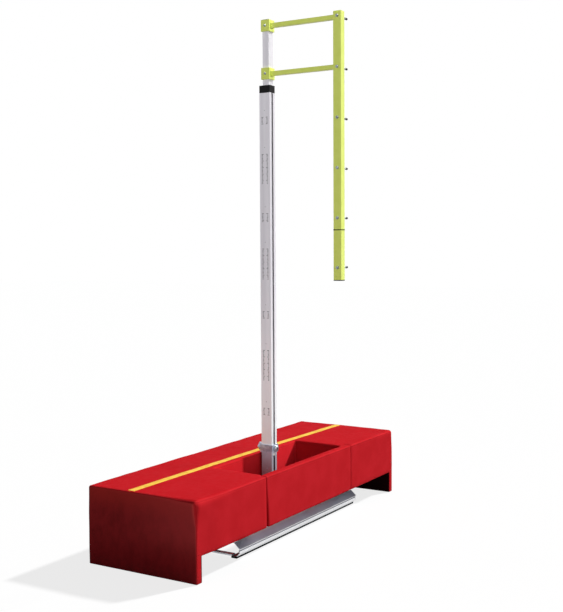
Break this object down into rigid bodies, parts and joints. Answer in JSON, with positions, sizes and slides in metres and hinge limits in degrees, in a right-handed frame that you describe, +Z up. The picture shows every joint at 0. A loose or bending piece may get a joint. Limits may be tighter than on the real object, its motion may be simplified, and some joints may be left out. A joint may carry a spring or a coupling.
{
  "type": "pole vault standard",
  "caption": "Pole vault standard: a slotted mast on a sliding carriage and rail frame, a mast that slides up inside it with a pegged bar on arms, and a foam base pad with a front flap.",
  "frame": {"origin": "on the floor, under the middle of the part's overall box", "axes": "+X from the mast to the bar that carries the pegs, +Y along the runway towards the landing pit, +Z up"},
  "size_m": [1.1497, 2.8892, 3.8533],
  "materials": {
    "extrusion": "satin",
    "anodised": "satin",
    "zinc_plate": "satin",
    "black_steel": "satin",
    "fastener": "gloss",
    "cast": "satin",
    "yellow_paint": "satin",
    "black_plastic": "matte",
    "nylon": "satin",
    "rubber": "matte",
    "vinyl": "satin",
    "webbing": "matte",
    "hook_tape": "matte"
  },
  "bodies": {
    "base_frame": {"rail_inner": "extrusion", "rail_outer": "extrusion", "rail_runner_inner": "rubber", "rail_runner_outer": "rubber", "front_top_crossbar": "extrusion", "rear_top_crossbar": "extrusion", "front_floor_crossbar": "extrusion", "middle_floor_crossbar": "extrusion", "rear_floor_crossbar": "extrusion", "front_stop": "rubber", "rear_stop": "rubber", "base_pad": "vinyl", "pad_stripe": "webbing", "flap_hook_strip": "hook_tape"},
    "carriage": {"carriage_plate": "zinc_plate", "glide_strip_inner": "nylon", "glide_strip_outer": "nylon", "rail_clip_inner": "fastener", "rail_clip_outer": "fastener", "rail_clip_bolt_inner": "fastener", "rail_clip_bolt_outer": "fastener", "mast_foot": "black_steel", "foot_bolt_1": "fastener", "foot_bolt_2": "fastener", "foot_bolt_3": "fastener", "foot_bolt_4": "fastener", "outer_mast": "anodised", "mast_bushing": "black_plastic"},
    "raising_mast": {"inner_mast": "anodised", "inner_mast_foot": "nylon", "inner_mast_plug": "black_plastic", "clamp_collar": "cast", "slot_bolt": "fastener", "upper_collar": "yellow_paint", "lower_collar": "yellow_paint", "upper_collar_bolt": "fastener", "lower_collar_bolt": "fastener", "upper_arm": "yellow_paint", "lower_arm": "yellow_paint", "standard_bar": "yellow_paint", "bar_extension": "yellow_paint", "bar_joint_screw": "fastener", "bar_top_cap": "yellow_paint", "bar_bottom_cap": "black_plastic", "crossbar_peg_1": "fastener", "crossbar_peg_2": "fastener", "crossbar_peg_3": "fastener", "crossbar_peg_4": "fastener", "crossbar_peg_5": "fastener", "crossbar_peg_6": "fastener", "peg_tip_1": "black_plastic", "peg_tip_2": "black_plastic", "peg_tip_3": "black_plastic", "peg_tip_4": "black_plastic", "peg_tip_5": "black_plastic", "peg_tip_6": "black_plastic"},
    "clamp_knob": {"clamp_knob": "cast"},
    "front_flap": {"front_flap": "vinyl"}
  },
  "joints": [
    {"name": "carriage_slide", "type": "slide", "parent": "base_frame", "child": "carriage", "axis": [0, 1, 0], "range_m": [-0.4, 0.4]},
    {"name": "mast_raise", "type": "slide", "parent": "carriage", "child": "raising_mast", "axis": [0, 0, 1], "range_m": [0, 2.2]},
    {"name": "clamp_knob_turn", "type": "hinge", "parent": "raising_mast", "child": "clamp_knob", "pos_m": [-0.1426, 0.087, 0.584], "axis": [1, 0, 0], "continuous": true},
    {"name": "flap_swing", "type": "hinge", "parent": "base_frame", "child": "front_flap", "pos_m": [0.3439, 0.656, 0.175], "axis": [0, 0, 1], "range_deg": [0, 110]}
  ]
}
